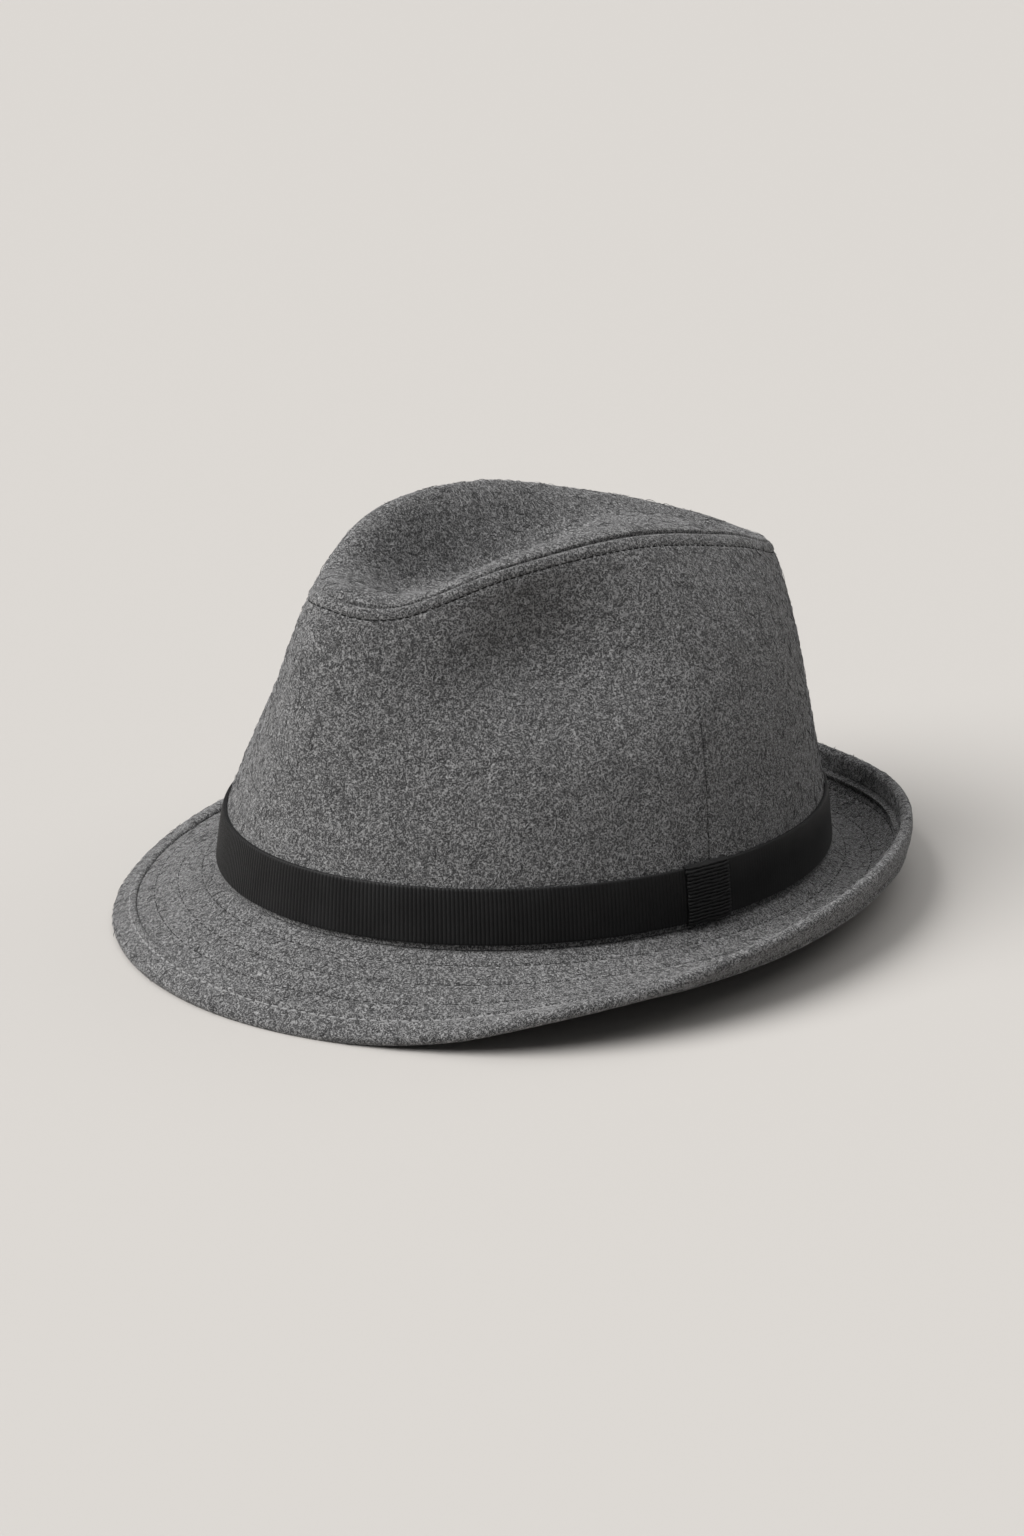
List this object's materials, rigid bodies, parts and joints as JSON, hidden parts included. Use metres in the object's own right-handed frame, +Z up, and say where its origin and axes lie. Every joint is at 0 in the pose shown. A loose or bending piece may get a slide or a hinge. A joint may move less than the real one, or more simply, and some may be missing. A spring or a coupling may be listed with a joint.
{
  "type": "trilby",
  "caption": "Soft felt trilby with a dented crown, a stitched brim turned down in front and up behind, and a ribbon band with a loop.",
  "frame": {"origin": "middle of the hat's footprint, on the surface it lies on", "axes": "-Y towards the front of the hat, +X towards the wearer's left, +Z up"},
  "size_m": [0.2318, 0.2622, 0.1247],
  "materials": {
    "felt": "brushed melange wool felt",
    "ribbon": "ribbed grosgrain"
  },
  "bodies": {
    "root": {"crown_side": "felt", "crown_tip": "felt", "brim": "felt", "brim_binding": "felt", "hat_band": "ribbon", "band_loop": "ribbon"}
  },
  "joints": []
}
